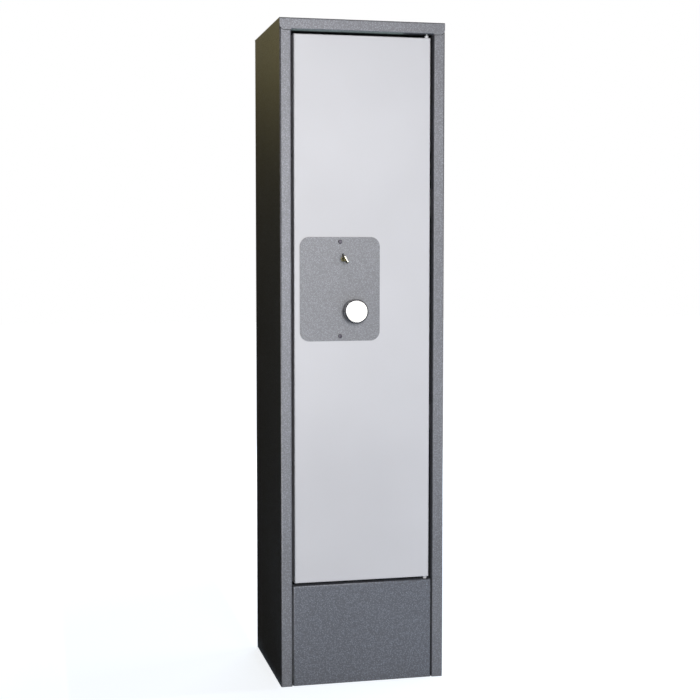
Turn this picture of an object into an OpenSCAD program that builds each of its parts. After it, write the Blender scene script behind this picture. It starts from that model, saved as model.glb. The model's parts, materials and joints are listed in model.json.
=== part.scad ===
// Single-door sheet-steel gun safe, free standing, keyed lever lock and turning knob.
// Frame: origin on the floor at the centre of the footprint, front towards -Y, +Z up, millimetres.
// At rest the door is shut, the bolts are drawn in and the key stands in the lock.

/* [Cabinet] */
// Width of the cabinet
body_w = 355; // [310:1:430]
// Depth of the cabinet, front plane to back plane
body_d = 300; // [250:1:400]
// Height of the cabinet
body_h = 1400; // [1180:1:1700]
// Thickness of the cabinet sheet
sheet = 2; // [1.5:0.1:2.5]
// Outside radius of every bend
bend_r = 3; // [2.6:0.1:4]
// Width of the front stiles and height of the top strip
stile_w = 24; // [20:1:30]
// Depth of the jambs folded back from the stiles
jamb_d = 20; // [19:0.5:21]
// Height of the fixed panel below the door
plinth_h = 214.5; // [150:0.5:260]
// Air gap at each side of the fixed panel
plinth_gap = 2.5; // [1.5:0.1:4]
// Radius of the lower corners of the roof's front flange
corner_cut = 11; // [8:1:14]

/* [Door] */
// Thickness of the door sheet
door_t = 3; // [2:0.1:4]
// Depth of the door pan
door_d = 41.5; // [40:0.5:50]
// How far the door's face stands behind the front plane
door_recess = 2.5; // [1:0.1:4]
// Gap on the lock side
gap_lock = 6; // [4:0.5:8]
// Gap on the hinge side
gap_hinge = 7; // [6:0.5:9]
// Gap above the door
gap_top = 8; // [6:0.5:10]
// Gap below the door
gap_bottom = 5.5; // [5:0.5:8]
// Diameter of the pivot pins
pivot_d = 6; // [5:0.5:8]
// Radial running clearance of the pivot pins
pivot_clear = 0.08; // [0.05:0.01:0.1]

/* [Lock plate, knob and key] */
// Width of the lock plate
plate_w = 172; // [160:1:180]
// Height of the lock plate
plate_h = 218; // [205:1:240]
// Thickness of the lock plate
plate_t = 2; // [1.5:0.1:3]
// Corner radius of the lock plate
plate_r = 20; // [10:1:30]
// Diameter of the knob
knob_d = 50; // [44:1:56]
// How far the knob stands out of the lock plate
knob_out = 25.5; // [20:0.5:35]
// Diameter of the knob spindle
spindle_d = 12; // [8:0.5:14]
// Turn of the key at rest, anticlockwise from upright seen from the front
key_rest_turn = 30; // [0:1:60]
// Reach of the key's bit from the key's axis
bit_r = 11; // [8:0.5:12]

/* [Boltwork] */
// Travel of the bolts from drawn in to shot
bolt_travel = 20; // [16:0.5:22]
// Diameter of the side bolts
bolt_d = 14; // [10:0.5:16]
// Number of side bolts
bolt_count = 3; // [2:1:4]
// Width of the locking rods and of the bolt carrier
rod_w = 24; // [20:1:26]
// Thickness of the locking rods
rod_t = 6; // [5:0.5:7]
// Diameter of the drive pins on the cam disc
drive_pin_d = 6; // [5:0.5:7]

/* [Inside] */
// Height of the barrel rack above the floor
rack_z = 980; // [800:10:1100]
// Number of barrel notches
notch_count = 3; // [2:1:4]
// Width of a barrel notch
notch_w = 42; // [36:1:50]
// Diameter of the anchor holes
anchor_d = 11; // [9:0.5:14]

/* [Hidden] */

$fn = 64;
eps = 0.01;            // overshoot of a cut past the face that it opens
seam = 1.1;            // open seam between two panels that meet flush
fit = 0.4;             // clearance of a sliding piece in its guide, each side
mating = 0.3;          // running gap between faces of bodies that move past each other

front_y = -body_d / 2;
back_y = body_d / 2;
half_w = body_w / 2;
open_x = half_w - stile_w;              // half width of the front opening
strip_z = body_h - stile_w;             // lower edge of the roof's front strip
jamb_y = front_y + jamb_d;              // rear edge of the jambs

// Door pan
door_l = -open_x + gap_lock;
door_r = open_x - gap_hinge;
door_bottom = plinth_h + gap_bottom;
door_top = strip_z - gap_top;
door_front = front_y + door_recess;
door_in = door_front + door_t;          // inner face of the door's front sheet
door_rear = door_front + door_d;
door_w = door_r - door_l;
door_h = door_top - door_bottom;
pivot_x = door_r - door_t - pivot_d / 2 - 0.5;
pivot_y = door_front + 9;

// Lock plate, knob and key
plate_x = door_l + 11.5 + plate_w / 2;
plate_z = door_bottom + 0.541 * door_h;
plate_front = door_front - plate_t;
plate_screw_in = 10;                    // screw centre from the plate's upper and lower edges
screw_d = 4;
knob_x = plate_x + 30;
knob_z = plate_z - 46.5;
knob_neck_h = 3;
key_x = plate_x + 6;
key_z = knob_z + 109;
shank_d = 7.5;
bit_t = 2.6;
bow_w = 19;
bow_l = 22;
bow_t = 2.6;
bow_end = front_y - 33;                 // outer end of the bow
key_slot_w = bit_t + 1.4;
key_slot_h = bit_r + 1;
key_hole_d = shank_d + 1.4;

// Layers behind the door sheet, from the front
rod_y = jamb_y + 4;                     // front face of the locking rods
disc_t = 5;
disc_y = rod_y - 2 - disc_t;
carrier_t = 4;
carrier_y = rod_y + rod_t + 1;
side_bolt_y = jamb_y + 3 + bolt_d / 2;  // axis of the side bolts
cover_t = 1.5;
cover_y = door_rear - 2.5;              // front face of the door's back cover

// Cam disc: each drive pin swings 90 degrees about the knob axis, so that the travel is its radius times root 2
pin_r = bolt_travel / sqrt(2);
pin_reach = pin_r / sqrt(2);            // offset of a pin at either end of its swing
disc_d = 2 * (pin_r + drive_pin_d / 2 + 3);
pin_slot_w = drive_pin_d + 1.1;         // wider than the pin, for the yoke's departure from an even ratio
pin_slot_l = pin_r - pin_reach + pin_slot_w;
foot_in = 4;                            // nearest that a rod's foot comes to the knob axis
foot_h = pin_slot_w + 9;

top_rod_x = knob_x + foot_in + 16;      // left edge of the upper rod
bottom_rod_x = knob_x - foot_in - 1 - rod_w;
top_rod_end = door_top - 2;
bottom_rod_end = door_bottom + 2;
carrier_x = knob_x - 90;                // left edge of the bolt carrier
carrier_h = 700 / 1148.5 * door_h;
tongue_h = 20;
bolt_tip_x = door_l + 0.5;
bolt_pitch = (carrier_h - 50) / (bolt_count - 1);
carrier_post_d = 12;
carrier_pin_d = 6;
carrier_post_z = [for (s = [-1, 1]) knob_z + s * (carrier_h / 2 - 90)];
carrier_post_x = carrier_x + rod_w / 2;

// Lever lock
case_l = key_x - 26;
case_r = top_rod_x - 4;
case_w = case_r - case_l;
case_h = 90;
case_bottom = key_z - 44;
case_t = 1.5;
case_front = door_in + 6.5;
case_rear = rod_y + rod_t + 6;
lock_throw = 12;
lock_bolt_t = 8;
lock_bolt_y = rod_y - 1;
lock_bolt_h = 16;
lever_t = 1.4;
lever_n = 5;
lever_y = case_front + case_t + 0.6;
lever_pitch = (lock_bolt_y - 0.4 - lever_y) / lever_n;
sweep_d = 2 * bit_r + 1;                // circle that the key's bit sweeps, with clearance
post_x = key_x + 20;
post_z = key_z + 26;
pillar_d = 8;
pillar_in = 7;

// Anchors and furniture
floor_anchor_x = body_w - 100;
floor_anchor_y = body_d - 100;
wall_anchor_x = body_w - 155;
wall_anchor_z = [0.215 * body_h, 0.86 * body_h];
rack_t = 2;
rack_d = 62;
rack_w = body_w - 2 * sheet - 0.6;
rack_y = back_y - sheet - rack_d;
rack_lip = 25;
notch_pitch = (rack_w - 60) / notch_count;
felt_t = 2;
mat_t = 4;
flange_h = 18;

steel_grey = "#6b6e73";
door_grey = "#d3d4d8";
plated = "#c4c6c8";
dark_steel = "#4a4c50";

// ---- helpers ----

// Sheet folded once, drawn in the plane: legs a along +X and b along +Y, outer corner at the origin
module bend_l(a, b, t) {
    translate([bend_r, 0]) square([a - bend_r, t]);
    translate([0, bend_r]) square([t, b - bend_r]);
    difference() {
        intersection() {
            translate([bend_r, bend_r]) circle(bend_r);
            square([bend_r, bend_r]);
        }
        translate([bend_r, bend_r]) circle(bend_r - t);
    }
}

// Rectangle with round corners, from its lower left corner
module round_rect(w, h, r) {
    translate([r, 0]) square([w - 2 * r, h]);
    translate([0, r]) square([w, h - 2 * r]);
    for (x = [r, w - r], y = [r, h - r]) translate([x, y]) circle(r);
}

// Slot with round ends, centred, its length along X
module slot2d(l, w) {
    square([l - w, w], center = true);
    for (s = [-1, 1]) translate([s * (l - w) / 2, 0]) circle(d = w);
}

// Stands a drawing up so that its X and Y become the object's X and Z, running back from y by t
module upright(y, t) {
    translate([0, y + t, 0]) rotate([90, 0, 0]) linear_extrude(t) children();
}

// Runs a drawing in the Y-Z plane along X from x by l
module along_x(x, l) {
    translate([x, 0, 0]) rotate([90, 0, 90]) linear_extrude(l) children();
}

// Round bar along Y from y, by l
module bar_y(x, y, z, d, l) {
    translate([x, y, z]) rotate([-90, 0, 0]) cylinder(d = d, h = l);
}

// Round bar along X from x, by l
module bar_x(x, y, z, d, l) {
    translate([x, y, z]) rotate([0, 90, 0]) cylinder(d = d, h = l);
}

// The same for a drawing
module both_sides_flat() {
    children();
    mirror([1, 0]) children();
}

// Mirrored pair about the plane x = 0
module both_sides() {
    children();
    mirror([1, 0, 0]) children();
}

// ---- cabinet ----

module wrap_profile() {
    translate([-half_w, front_y]) bend_l(stile_w - bend_r, body_d / 2, sheet);
    translate([-half_w, back_y]) mirror([0, 1]) bend_l(half_w, body_d / 2, sheet);
    translate([-open_x, front_y]) mirror([1, 0]) bend_l(stile_w - bend_r, jamb_d, sheet);
}

// Outline of the roof's front strip, its lower corners rounded, open towards the top and the sides
module strip_outline(grow) {
    r = corner_cut + grow;
    low = body_h - stile_w - 1 - grow;
    translate([-half_w - 1, low + r]) square([body_w + 2, stile_w + 2]);
    translate([-half_w - grow + r, low]) square([body_w + 2 * grow - 2 * r, r + 1]);
    both_sides_flat() translate([-half_w - grow + r, low + r]) circle(r);
}

module wrap_shell() {
    color(steel_grey) difference() {
        linear_extrude(body_h - sheet) both_sides() wrap_profile();
        upright(front_y - 1, 1 + bend_r + seam) strip_outline(seam);
        for (x = [-1, 1], z = wall_anchor_z)
            bar_y(x * wall_anchor_x / 2, back_y - sheet - 1, z, anchor_d, sheet + 2);
    }
}

module roof_front_profile() {
    translate([front_y, body_h]) mirror([0, 1]) bend_l(body_d, stile_w - bend_r + eps, sheet);
    translate([front_y, strip_z]) bend_l(jamb_d, stile_w - bend_r, sheet);
}

module roof_pan() {
    inside = half_w - sheet;
    color(steel_grey) difference() {
        union() {
            intersection() {
                along_x(-half_w, body_w) roof_front_profile();
                union() {
                    translate([-half_w, front_y, body_h - sheet]) cube([body_w, body_d, sheet]);
                    upright(front_y, bend_r) intersection() {
                        strip_outline(0);
                        translate([-half_w, strip_z - 1]) square([body_w, stile_w + 1]);
                    }
                    translate([-open_x + mating, front_y, strip_z])
                        cube([2 * (open_x - mating), jamb_d, stile_w]);
                }
            }
            // strip below its bend, in front of the stiles
            for (s = [-1, 1])
                intersection() {
                    upright(front_y, sheet) strip_outline(0);
                    translate([s > 0 ? open_x + mating : -half_w, front_y, strip_z - 1])
                        cube([stile_w - mating, sheet, bend_r + 1]);
                }
            // locating flanges inside the wrap
            both_sides() translate([inside - sheet, front_y + 30, body_h - sheet - flange_h])
                cube([sheet, body_d - 40, flange_h]);
            translate([-inside + 10, back_y - 2 * sheet, body_h - sheet - flange_h])
                cube([2 * inside - 20, sheet, flange_h]);
        }
        translate([pivot_x, pivot_y, strip_z - 1])
            cylinder(d = pivot_d + 2 * pivot_clear, h = sheet + 2);
    }
}

module floor_pan() {
    inside = half_w - sheet;
    color(steel_grey) difference() {
        union() {
            translate([-inside, front_y + sheet + seam, 0]) linear_extrude(sheet)
                round_rect(2 * inside, body_d - 2 * sheet - seam, bend_r - sheet + 0.2);
            both_sides() translate([inside - sheet, front_y + 30, 0]) cube([sheet, body_d - 40, flange_h]);
            translate([-inside + 10, back_y - 2 * sheet, 0]) cube([2 * inside - 20, sheet, flange_h]);
        }
        for (x = [-1, 1], y = [-1, 1])
            translate([x * floor_anchor_x / 2, y * floor_anchor_y / 2, -1]) cylinder(d = anchor_d, h = sheet + 2);
        both_sides() translate([-half_w, front_y, -1]) cube([stile_w + seam, jamb_d + seam, sheet + 2]);
        translate([-open_x - seam, front_y, -1]) cube([2 * (open_x + seam), 1 + sheet + seam, sheet + 2]);
    }
}

panel_x = open_x - plinth_gap;
panel_y = front_y + 1;

module plinth_panel() {
    color(steel_grey) difference() {
        union() {
            intersection() {
                along_x(-panel_x, 2 * panel_x) union() {
                    translate([panel_y, plinth_h]) mirror([0, 1]) bend_l(jamb_d - 1, plinth_h - 0.3, sheet);
                    translate([panel_y + sheet - eps, sheet]) square([jamb_d - 1 - sheet, sheet]);
                }
                linear_extrude(plinth_h) union() {
                    both_sides() translate([-panel_x, panel_y]) bend_l(panel_x + eps, jamb_d - 1, sheet);
                    translate([-panel_x + sheet, panel_y + sheet - eps])
                        square([2 * (panel_x - sheet), jamb_d]);
                }
            }
            both_sides() translate([-panel_x, panel_y + bend_r, 2 * sheet])
                cube([sheet, jamb_d - 1 - bend_r, plinth_h - 3 * sheet]);
        }
        translate([pivot_x, pivot_y, plinth_h - sheet - 1])
            cylinder(d = pivot_d + 2 * pivot_clear, h = sheet + 2);
    }
}

module plinth_spacers() {
    color(dark_steel) both_sides()
        translate([-open_x, front_y + 8, 12]) cube([plinth_gap, jamb_d - 9, plinth_h - 30]);
}

pivot_plate_w = 15 + panel_x - sheet - pivot_x;
pivot_plate_t = 5;

module pivot_plate(z) {
    color(dark_steel) difference() {
        translate([pivot_x - 15, front_y + sheet + 3, z])
            cube([pivot_plate_w, jamb_d - sheet - 4, pivot_plate_t]);
        translate([pivot_x, pivot_y, z - 1]) cylinder(d = pivot_d + 2 * pivot_clear, h = pivot_plate_t + 2);
    }
}

module top_pivot_plate() { pivot_plate(strip_z + sheet); }
module sill_pivot_plate() { pivot_plate(plinth_h - sheet - pivot_plate_t); }

stop_z = [for (s = [0.12, 0.88]) door_bottom + s * door_h];
stop_h = 40;
stop_x = open_x + sheet;
bumper_t = 3;
stop_y = door_rear + mating + bumper_t;

module door_stop_brackets() {
    color(steel_grey) for (z = stop_z)
        translate([0, 0, z - stop_h / 2]) linear_extrude(stop_h)
            translate([-stop_x - sheet, stop_y + sheet]) mirror([0, 1])
                bend_l(stile_w, stop_y + sheet - front_y - sheet - 2, sheet);
}

module stop_bumpers() {
    color("#26272a") for (z = stop_z)
        bar_y(door_l + 6, door_rear + mating, z, 11, bumper_t);
}

// ---- inside ----

module notch_outline(grow) {
    for (i = [0:notch_count - 1]) translate([(i - (notch_count - 1) / 2) * notch_pitch, rack_y]) {
        circle(d = notch_w + 2 * grow);
        translate([-notch_w / 2 - grow, -rack_d]) square([notch_w + 2 * grow, rack_d]);
    }
}

module rack_plan() {
    translate([-rack_w / 2, rack_y - rack_d / 2]) round_rect(rack_w, 1.5 * rack_d, bend_r);
}

module barrel_rack() {
    color(steel_grey) union() {
        translate([0, 0, rack_z]) linear_extrude(rack_t) difference() {
            rack_plan();
            notch_outline(0);
        }
        translate([-rack_w / 2 + bend_r, back_y - sheet - rack_t, rack_z - rack_lip])
            cube([rack_w - 2 * bend_r, rack_t, rack_lip]);
    }
}

module rack_rivets() {
    color(plated) for (x = [-1, 1])
        bar_y(x * rack_w * 0.3, back_y - sheet - rack_t - 1.5, rack_z - rack_lip / 2, 8, 1.5);
}

module rack_felt() {
    color("#3a3c3f") translate([0, 0, rack_z + rack_t]) linear_extrude(felt_t) difference() {
        translate([-rack_w / 2 + 1, rack_y - rack_d / 2]) square([rack_w - 2, 1.5 * rack_d - 1]);
        notch_outline(0);
    }
}

module floor_mat() {
    color("#303236") difference() {
        translate([-half_w + 2 * sheet + 1, front_y + jamb_d + 3, sheet])
            cube([body_w - 4 * sheet - 2, body_d - jamb_d - 2 * sheet - 6, mat_t]);
        for (x = [-1, 1], y = [-1, 1])
            translate([x * floor_anchor_x / 2, y * floor_anchor_y / 2, sheet - 1])
                cylinder(d = anchor_d + 14, h = mat_t + 2);
    }
}

// ---- door ----

module door_shape(in, in_front) {
    intersection() {
        translate([0, 0, door_bottom + in]) linear_extrude(door_h - 2 * in) union() {
            translate([door_l + in, door_front + in_front])
                round_rect(door_w - 2 * in, door_d + 20, max(bend_r - in, 0.5));
        }
        along_x(door_l + in, door_w - 2 * in)
            translate([door_front + in_front, door_bottom + in])
                round_rect(door_d + 20, door_h - 2 * in, max(bend_r - in, 0.5));
        translate([door_l - 1, door_front - 1, door_bottom - 1])
            cube([door_w + 2, door_d + 1, door_h + 2]);
    }
}

module keyhole2d() {
    circle(d = key_hole_d);
    translate([-key_slot_w / 2, 0]) square([key_slot_w, key_slot_h]);
}

module door_panel() {
    color(door_grey) difference() {
        door_shape(0, 0);
        translate([0, 0, 0]) intersection() {
            translate([door_l + door_t, door_in, door_bottom + door_t])
                cube([door_w - 2 * door_t, door_d, door_h - 2 * door_t]);
            translate([door_l, door_front, door_bottom]) cube([door_w, door_d + 1, door_h]);
        }
        bar_y(knob_x, door_front - 1, knob_z, spindle_d + 6, door_t + 2);
        translate([key_x, 0, key_z]) upright(door_front - 1, door_t + 2) keyhole2d();
        for (s = [-1, 1])
            bar_y(plate_x, door_front - 1, plate_z + s * (plate_h / 2 - plate_screw_in), screw_d, door_t + 2);
        for (i = [0:bolt_count - 1])
            bar_x(door_l - 1, side_bolt_y, side_bolt_z(i), bolt_d + 2 * fit, door_t + 2);
        translate([top_rod_x - fit, rod_y - fit, door_top - door_t - 1])
            cube([rod_w + 2 * fit, rod_t + 2 * fit, door_t + 2]);
        translate([bottom_rod_x - fit, rod_y - fit, door_bottom - 1])
            cube([rod_w + 2 * fit, rod_t + 2 * fit, door_t + 2]);
        for (z = [door_bottom - 1, door_top - door_t - 1])
            translate([pivot_x, pivot_y, z]) cylinder(d = pivot_d, h = door_t + 2);
    }
}

function side_bolt_z(i) = knob_z - carrier_h / 2 + 25 + i * bolt_pitch;

stiffener_x = (pivot_x + top_rod_x + rod_w) / 2;
stiffener_w = 46;
stiffener_d = 18;

module door_stiffener() {
    color(dark_steel) translate([stiffener_x, 0, door_bottom + 20]) linear_extrude(door_h - 40) {
        for (s = [0, 1]) mirror([s, 0]) {
            translate([-stiffener_w / 2 + 12, door_in + stiffener_d]) mirror([0, 1])
                bend_l(stiffener_w / 2 - 12, stiffener_d, 1.5);
            translate([-stiffener_w / 2, door_in]) square([13.5, 1.5]);
        }
    }
}

block_w = 15;
block_h = 30;

module pivot_blocks() {
    color(dark_steel) for (z = [door_bottom + door_t, door_top - door_t - block_h])
        difference() {
            translate([door_r - door_t - block_w, door_in, z]) cube([block_w, block_w, block_h]);
            translate([pivot_x, pivot_y, z - 1]) cylinder(d = pivot_d, h = block_h + 2);
        }
}

module top_pivot_pin() {
    color(plated) translate([pivot_x, pivot_y, door_top - door_t - block_h])
        cylinder(d = pivot_d, h = door_t + block_h + gap_top + sheet + pivot_plate_t + 2);
}

module bottom_pivot_pin() {
    reach = sheet + pivot_plate_t + 2;
    color(plated) translate([pivot_x, pivot_y, plinth_h - reach])
        cylinder(d = pivot_d, h = reach + gap_bottom + door_t + block_h);
}

collar_h = 5;

module pivot_collars() {
    color(door_grey) for (at = [[door_top, collar_h], [plinth_h + mating, gap_bottom - mating]])
        translate([pivot_x, pivot_y, at[0]]) difference() {
            cylinder(d = pivot_d + 2.6, h = at[1]);
            translate([0, 0, -1]) cylinder(d = pivot_d, h = at[1] + 2);
        }
}

module hinge_side_dogs() {
    color(plated) for (s = [0.3, 0.7])
        translate([door_r, jamb_y + 4, door_bottom + s * door_h - 30]) cube([gap_hinge + sheet + 5, 10, 60]);
}

module lock_plate() {
    color(steel_grey) difference() {
        translate([plate_x - plate_w / 2, 0, plate_z - plate_h / 2])
            upright(plate_front, plate_t) round_rect(plate_w, plate_h, plate_r);
        translate([key_x, 0, key_z]) upright(plate_front - 1, plate_t + 2) keyhole2d();
        bar_y(knob_x, plate_front - 1, knob_z, spindle_d + 1, plate_t + 2);
        for (s = [-1, 1])
            bar_y(plate_x, plate_front - 1, plate_z + s * (plate_h / 2 - plate_screw_in), screw_d, plate_t + 2);
    }
}

screw_head_h = 2.2;

module plate_screws() {
    color("#55565c") for (s = [-1, 1])
        translate([plate_x, plate_front, plate_z + s * (plate_h / 2 - plate_screw_in)]) rotate([-90, 0, 0])
            difference() {
                union() {
                    cylinder(d = screw_d, h = plate_t + door_t + 4);
                    translate([0, 0, -screw_head_h]) cylinder(d1 = 6.4, d2 = 8.4, h = screw_head_h / 2);
                    translate([0, 0, -screw_head_h / 2]) cylinder(d = 8.4, h = screw_head_h / 2);
                }
                for (a = [0, 90]) rotate(a) translate([-2.3, -0.5, -screw_head_h - 1]) cube([4.6, 1, 2.2]);
            }
}

module spindle_bush() {
    bush_l = disc_y - 0.5 - door_front;
    color("#b08d57") difference() {
        union() {
            bar_y(knob_x, door_front, knob_z, spindle_d + 6, bush_l);
            bar_y(knob_x, door_in, knob_z, spindle_d + 14, 2);
        }
        bar_y(knob_x, door_front - 1, knob_z, spindle_d + 2 * pivot_clear, bush_l + 2);
    }
}

cover_post_d = 10;
cover_screw_d = 4;
cover_post_at = [for (z = [0.07, 0.5, 0.93]) [door_r - 24, door_bottom + z * door_h],
                 for (z = [0.07, 0.36, 0.93]) [carrier_x + rod_w + 14, door_bottom + z * door_h]];

module cover_posts() {
    color(plated) for (p = cover_post_at) difference() {
        bar_y(p[0], door_in, p[1], cover_post_d, cover_y - door_in);
        bar_y(p[0], cover_y - 12, p[1], cover_screw_d, 13);
    }
}

module door_back_cover() {
    in = door_t + 0.4;
    color(steel_grey) difference() {
        translate([door_l + in, 0, door_bottom + in])
            upright(cover_y, cover_t) round_rect(door_w - 2 * in, door_h - 2 * in, 3);
        for (p = cover_post_at) bar_y(p[0], cover_y - 1, p[1], cover_screw_d + 0.6, cover_t + 2);
    }
}

module cover_screws() {
    color(plated) for (p = cover_post_at) {
        bar_y(p[0], cover_y - 10, p[1], cover_screw_d, 10 + cover_t);
        bar_y(p[0], cover_y + cover_t, p[1], 7.6, door_rear - cover_y - cover_t - 0.2);
    }
}

module carrier_posts() {
    color(plated) for (z = carrier_post_z) difference() {
        union() {
            bar_y(carrier_post_x, door_in, z, carrier_post_d, carrier_y - mating - door_in);
            bar_y(carrier_post_x, carrier_y - mating - eps, z, carrier_pin_d, carrier_t + 2 * mating + eps);
        }
        bar_y(carrier_post_x, carrier_y - 4, z, 3, carrier_t + 6);
    }
}

module carrier_screws() {
    color(plated) for (z = carrier_post_z) {
        bar_y(carrier_post_x, carrier_y - 3, z, 3, carrier_t + mating + 3);
        bar_y(carrier_post_x, carrier_y + carrier_t + mating, z, 11, 2);
    }
}

guide_h = 22;
guide_wall = 4;

module rod_guide(x, z) {
    deep = rod_y + rod_t + fit + guide_wall - door_in;
    difference() {
        translate([x - fit - guide_wall, door_in, z - guide_h / 2])
            cube([rod_w + 2 * (fit + guide_wall), deep, guide_h]);
        translate([x - fit, rod_y - fit, z - guide_h / 2 - 1])
            cube([rod_w + 2 * fit, rod_t + 2 * fit, guide_h + 2]);
        translate([x + 2, door_in - 1, z - guide_h / 2 - 1])
            cube([rod_w - 4, rod_y - fit - guide_wall - door_in + 1, guide_h + 2]);
    }
}

module rod_guides() {
    color(plated) {
        for (z = [door_top - 70, key_z + 100]) rod_guide(top_rod_x, z);
        for (z = [door_bottom + 70, knob_z - 160]) rod_guide(bottom_rod_x, z);
    }
}

// ---- lever lock ----

pillar_at = [for (x = [case_l + pillar_in, case_r - pillar_in], z = [case_bottom + pillar_in,
             case_bottom + case_h - pillar_in]) [x, z]];

module lock_pillars() {
    color(plated) for (p = pillar_at) difference() {
        bar_y(p[0], door_in, p[1], pillar_d, case_front - door_in);
        bar_y(p[0], door_in + 1, p[1], 4, case_front - door_in);
    }
}

module lock_case() {
    color("#9a9b98") difference() {
        translate([case_l, 0, case_bottom])
            upright(case_front, case_rear - case_t - case_front) round_rect(case_w, case_h, 3);
        translate([case_l + case_t, case_front + case_t, case_bottom + case_t])
            cube([case_w - 2 * case_t, case_rear - case_front, case_h - 2 * case_t]);
        translate([key_x, 0, key_z]) upright(case_front - 1, case_t + 2) keyhole2d();
        for (p = pillar_at) bar_y(p[0], case_front - 1, p[1], 4.4, case_t + 2);
        translate([case_r - case_t - 1, lock_bolt_y - fit, key_z - lock_bolt_h / 2 - fit])
            cube([case_t + 2, lock_bolt_t + 2 * fit, lock_bolt_h + 2 * fit]);
    }
}

module lock_cap() {
    color("#9a9b98") difference() {
        translate([case_l, 0, case_bottom]) upright(case_rear - case_t, case_t) round_rect(case_w, case_h, 3);
        bar_y(key_x, case_rear - case_t - 1, key_z, shank_d - 1.5, case_t + 2);
        for (p = pillar_at) bar_y(p[0], case_rear - case_t - 1, p[1], 4.4, case_t + 2);
        bar_y(post_x, case_rear - case_t - 1, post_z, 5, case_t + 2);
    }
}

module lock_screws() {
    color(plated) for (p = pillar_at) {
        bar_y(p[0], door_in + 2, p[1], 4, case_rear - door_in - 2);
        bar_y(p[0], case_rear, p[1], 7, 1.6);
    }
}

lever_swing_r = sweep_d / 2 + 0.4;

module lever_outline() {
    difference() {
        union() {
            translate([key_x - 15, key_z + 2]) square([post_x - key_x + 22, post_z - key_z + 3]);
            translate([post_x, post_z]) circle(7);
        }
        translate([key_x, key_z]) circle(lever_swing_r);
        translate([post_x, post_z]) circle(d = 5.4);
    }
}

module lever_pack() {
    color("#c9a24b") for (i = [0:lever_n - 1])
        upright(lever_y + i * lever_pitch, lever_t) lever_outline();
}

module lever_post() {
    color(plated) bar_y(post_x, case_front + case_t, post_z, 5, case_rear - case_front - case_t);
}

module lever_springs() {
    color("#2f3133") for (i = [0:lever_n - 1])
        translate([key_x - 16, 0, post_z + 5]) upright(lever_y + i * lever_pitch + 0.2, lever_t - 0.4) {
            square([16, 0.8]);
            translate([0, 0]) square([0.8, case_bottom + case_h - case_t - post_z - 5]);
        }
}

module lock_bolt() {
    rest_x = case_r - case_t;
    color("#b9bbb8") difference() {
        union() {
            translate([rest_x - 24, lock_bolt_y, key_z - lock_bolt_h / 2])
                cube([24 + case_t, lock_bolt_t, lock_bolt_h]);
            translate([case_l + case_t + 2, lock_bolt_y, key_z - 20])
                cube([rest_x - case_l - case_t - 2 - lock_throw - 1, lock_bolt_t, 34]);
        }
        translate([key_x - sweep_d / 2 - lock_throw - 1, lock_bolt_y - 1, key_z - sweep_d / 2 - 0.5])
            cube([sweep_d + lock_throw + 2, lock_bolt_t + 2, sweep_d + 1]);
        translate([case_l, lock_bolt_y - 1, case_bottom])
            cube([pillar_in + 5, lock_bolt_t + 2, 2 * pillar_in]);
    }
}

module bow_outline() {
    difference() {
        translate([-bow_w / 2, 0]) round_rect(bow_w, bow_l, 3);
        translate([0, bow_l * 0.42]) slot2d(9, 5);
    }
}

module key() {
    bow_root = bow_end + bow_l;
    bit_y = case_front + case_t + 0.8;
    bit_l = lock_bolt_y + lock_bolt_t - bit_y - 1;
    cuts = [0, 2.4, 1.2, 3, 0.8, 2];
    color("#d6d3c4") translate([key_x, 0, key_z]) rotate([0, -key_rest_turn, 0]) {
        // the bow lies in the plane of the shank
        translate([-bow_t / 2, bow_root, 0]) rotate([90, 0, 90]) rotate(90) linear_extrude(bow_t) bow_outline();
        difference() {
            bar_y(0, bow_root - 3, 0, shank_d, bit_y + bit_l + 1 - bow_root + 3);
            translate([bow_t / 2, bow_root - 4, -shank_d]) cube([shank_d, 4.01, 2 * shank_d]);
            translate([-bow_t / 2 - shank_d, bow_root - 4, -shank_d]) cube([shank_d, 4.01, 2 * shank_d]);
        }
        bar_y(0, bit_y + bit_l, 0, shank_d - 2, case_rear - 1 - bit_y - bit_l);
        difference() {
            translate([-bit_t / 2, bit_y, 0]) cube([bit_t, bit_l, bit_r]);
            for (i = [1:len(cuts) - 1])
                translate([-bit_t, bit_y + i * bit_l / len(cuts), bit_r - cuts[i]])
                    cube([2 * bit_t, bit_l / len(cuts) * 0.72, 2 * cuts[i]]);
        }
    }
}

// ---- knob and boltwork ----

module knob() {
    r = knob_d / 2;
    face = plate_front - knob_out;
    color("#e6e6e4") difference() {
        translate([knob_x, plate_front - mating, knob_z]) rotate([90, 0, 0]) rotate_extrude() polygon([
            [0, 0], [r - 9, 0], [r - 9, knob_neck_h], [r - 0.8, knob_neck_h], [r, knob_neck_h + 0.8],
            [r, knob_out - mating - 1.4], [r - 1.4, knob_out - mating], [0, knob_out - mating]]);
        bar_y(knob_x, face + 8, knob_z, spindle_d, knob_out);
        bar_x(knob_x - knob_d, plate_front - 10, knob_z, 4, knob_d);
    }
}

module knob_spindle() {
    color(plated) difference() {
        bar_y(knob_x, plate_front - knob_out + 8, knob_z, spindle_d, disc_y - plate_front + knob_out - 8);
        bar_y(knob_x, disc_y - 12, knob_z, 5, 13);
    }
}

module knob_set_screw() {
    color(dark_steel) bar_x(knob_x - knob_d / 2 + 2, plate_front - 10, knob_z, 4, knob_d / 2 - 2 - spindle_d / 2);
}

function drive_pin_at(a) = [knob_x + pin_r * cos(a), knob_z + pin_r * sin(a)];
pin_carrier = drive_pin_at(45);
pin_top_rod = drive_pin_at(-45);
pin_bottom_rod = drive_pin_at(135);

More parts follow.
